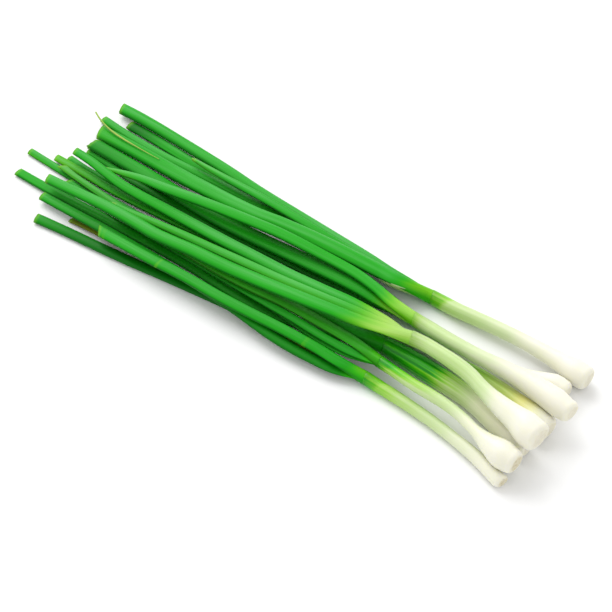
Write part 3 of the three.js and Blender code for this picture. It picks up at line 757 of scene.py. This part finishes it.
def make_stem(plant):
    node = f"stem_{plant}"
    draw = random.Random(node)
    found = sections(node, 10)
    mouth, slant = open_end(node, found[0][0])
    mouth_x = mouth[0]
    pocket = min(found[:2], key=lambda section: section[3])
    body = [mouth] + [section for section in found if section is not pocket]
    plate = body[-1]
    lean = -(plate[1] - body[-2][1]) / (plate[0] - body[-2][0])
    end = (plate[0] - SHOULDER, *smooth(body, plate[0] - SHOULDER))
    rise = SHOULDER + ROOT_RISE
    tint = ROOT_TINT.get(plant, ROOT_TINT_OF_OTHERS)
    pale, pale_from, pale_to = PAINTED_UNDERSIDE.get(plant, (0.0, 1, 2))
    seed = draw.random()
    ridges = [
        (draw.randint(*RIDGE_NUMBER), draw.uniform(*RIDGE_HEIGHT), draw.uniform(0, 6.28))
        for _ in range(RIDGES)
    ]

    def relief(row, angle):
        share = 1.0
        for number, height, phase in ridges:
            wave = math.sin(number * angle + phase + row.x / MM * RIDGE_TWIST_PER_MM)
            share += row.values.get("ridge", 0.0) * height * (wave - 0.5)
        return share

    count = round((end[0] - mouth_x) / STEM_STEP)
    rows = [
        Row(pocket[0], pocket[1], pocket[2], 0.0, 0.0),
        Row(pocket[0], pocket[1], pocket[2], pocket[3], pocket[4]),
        Row(mouth[0], mouth[1], mouth[2], mouth[3] - LIP[plant] * MM, mouth[4] - LIP[plant] * MM, slant,
            ripe=ripe_around(plant, 0)),
    ]
    for i in range(count + 1):
        x = mouth_x + (end[0] - mouth_x) * i / count
        y, z, half_width, half_height = smooth(body, x)
        from_mouth = x - mouth_x
        to_end = end[0] - x
        yellow = soft_step(from_mouth, *YELLOW_FROM_MOUTH) * soft_step(to_end, 0, YELLOW_FROM_ROOT)
        below = soft_step(from_mouth, 0, pale_from * MM)
        below *= 1 - soft_step(from_mouth, pale_to * MM, (pale_to + PALE_FADE) * MM)
        rows.append(Row(
            x, y, z, half_width, half_height,
            slant * max(0.0, 1 - from_mouth / MOUTH_FADE),
            ripe=ripe_around(plant, from_mouth),
            yellow=YELLOW.get(plant, 0.0) * yellow,
            pale_below=pale * below,
            ridge=soft_step(to_end, 0, RIDGE_FADE) * soft_step(from_mouth, 0, RIDGE_FADE),
        ))
    for step in range(1, SHOULDER_STEPS + 1):
        turn = step / SHOULDER_STEPS * math.pi / 2
        share = 1 - ROOT_DRAW_IN * (1 - math.cos(turn))
        rows.append(Row(
            end[0] + rise * math.sin(turn), end[1], end[2], end[3] * share, end[4] * share,
            lean * math.sin(turn), ripe=1.0, root=0.5 * tint * soft_step(step / SHOULDER_STEPS, 0.6, 1.0),
        ))
    for share in ROOT_RINGS:
        dish = ROOT_DISH * (1 - share / ROOT_FACE_SHARE)
        rows.append(Row(
            end[0] + rise - dish, end[1], end[2], end[3] * share, end[4] * share, lean,
            ripe=1.0, root=tint,
        ))
    rows.append(Row(end[0] + rise - ROOT_DISH, end[1], end[2], 0.0, 0.0, ripe=1.0, root=tint))
    for row in rows:
        row.values["seed"] = seed
        row.values["veined"] = VEINED.get(plant, 0.0)
    piece = rolled(f"onion_{plant}", rows, STEM_SIDES, relief, stem, STEM_NUMBERS)
    settle(piece, node)
    return piece


stems = [make_stem(plant) for plant in RIPENESS]
print(len(stems), "stems,", sum(len(piece.data.polygons) for piece in stems), "faces")

# %% [markdown]
# Plant 1's outermost sheath has split from its mouth. A thin pale strip of it still runs back along the
# near side of the leaf, from the shank's side up to a withered tip.
# %% Split sheath
SHEATH_FROM = 24 * MM + LOOK_AT.x
SHEATH_TO = 52 * MM + LOOK_AT.x
SHEATH_STEP = 1 * MM
SHEATH_HALF_HEIGHT = 1.5 * MM
SHEATH_HALF_THICK = 0.3 * MM
SHEATH_SIDES = 10
SHEATH_RIPE = 0.55
SHEATH_TIP_RIPE = 0.3
SHEATH_SEED = 0.4
BESIDE_LEAF = (0.96, 0.7)
BESIDE_SHANK = (0.86, 0.3)


def beside(section, shares):
    """A place low on the near side of a section, by shares of its half width and half height"""
    middle_y, middle_z, half_width, half_height = section
    return middle_y - half_width * shares[0], middle_z - half_height * shares[1]


def make_sheath():
    leaf_body = sections("leaf_1d", 8)[1:-2]
    shank_body = sections("stem_1", 10)
    shank_body.remove(min(shank_body[:2], key=lambda section: section[3]))
    count = round((SHEATH_TO - SHEATH_FROM) / SHEATH_STEP)
    rows = []
    for i in range(count + 1):
        share = i / count
        x = SHEATH_FROM + (SHEATH_TO - SHEATH_FROM) * share
        leaf_y, leaf_z = beside(smooth(leaf_body, x), BESIDE_LEAF)
        shank_y, shank_z = beside(smooth(shank_body, x), BESIDE_SHANK)
        join = soft_step(share, 0.5, 1)
        z = leaf_z * (1 - join) + shank_z * join
        full = math.sin(math.pi / 2 * min(1.0, share * 2.5)) * (1 - 0.6 * soft_step(share, 0.7, 1))
        rows.append(Row(
            x,
            leaf_y * (1 - join) + shank_y * join,
            max(z, SHEATH_HALF_HEIGHT),
            SHEATH_HALF_THICK * (0.3 + full),
            SHEATH_HALF_HEIGHT * (0.15 + 0.85 * full),
            seed=SHEATH_SEED, ripe=SHEATH_RIPE, veined=0.5,
        ))
    first = rows[0]
    last = rows[-1]
    rows.insert(0, Row(first.x, first.y, first.z, 0.0, 0.0, seed=SHEATH_SEED, ripe=SHEATH_TIP_RIPE))
    rows.append(Row(last.x, last.y, last.z, 0.0, 0.0, seed=SHEATH_SEED, ripe=SHEATH_RIPE))
    piece = rolled("split_sheath", rows, SHEATH_SIDES, plain, stem, STEM_NUMBERS)
    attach(piece, "root")
    return piece


sheath = make_sheath()
print("sheath of", len(sheath.data.polygons), "faces")

# %% [markdown]
# The dried strand lies over the cut ends. It grows thinner towards its inner end and keeps to its packed
# underside.
# %% Dried strand
STRAND_STEP = 0.8 * MM
STRAND_SIDES = 12
STRAND_TAPER = 0.7
STRAND_TAPER_FROM = 0.35
STRAND_SEED = 0.7


def make_strand():
    found = sections("dry_strand", 6)
    outer = found[0]
    inner = found[-1]
    count = round((inner[0] - outer[0]) / STRAND_STEP)
    rows = [Row(*outer[:3], 0.0, 0.0, seed=STRAND_SEED)]
    for i in range(count + 1):
        x = outer[0] + (inner[0] - outer[0]) * i / count
        y, z, half_width, half_height = smooth(found, x)
        thin = 1 - STRAND_TAPER * soft_step(i / count, STRAND_TAPER_FROM, 1)
        rows.append(Row(
            x, y, z - half_height * (1 - thin), half_width * thin, half_height * thin, seed=STRAND_SEED,
        ))
    rows.append(Row(*inner[:3], 0.0, 0.0, seed=STRAND_SEED))
    piece = rolled("dry_strand_blade", rows, STRAND_SIDES, plain, dried, ("seed",))
    settle(piece, "dry_strand")
    return piece


strand = make_strand()
print("strand of", len(strand.data.polygons), "faces")

# %% [markdown]
# The floor is a plain white sheet.
# %% Floor
FLOOR_SIZE = 3.0
FLOOR_DROP = 0.1 * MM

floor_finish = Finish("floor", Roughness=0.9, Specular_IOR_Level=0.0)
paper = floor_finish.mix(floor_finish.mottle(3.0), (0.88, 0.88, 0.88), (0.9, 0.9, 0.9))
floor_finish.set(Base_Color=paper)
floor_mesh = bmesh.new()
bmesh.ops.create_grid(floor_mesh, x_segments=1, y_segments=1, size=FLOOR_SIZE)
bmesh.ops.translate(floor_mesh, verts=floor_mesh.verts, vec=(0, 0, -FLOOR_DROP))
floor_data = bpy.data.meshes.new("floor")
floor_mesh.to_mesh(floor_data)
floor_mesh.free()
floor_data.materials.append(floor_finish.material)
floor = bpy.data.objects.new("floor", floor_data)
bpy.context.scene.collection.objects.link(floor)

# %% [markdown]
# Last, the scene is brought up to date.
# %% Bring the scene up to date
bpy.context.view_layer.update()
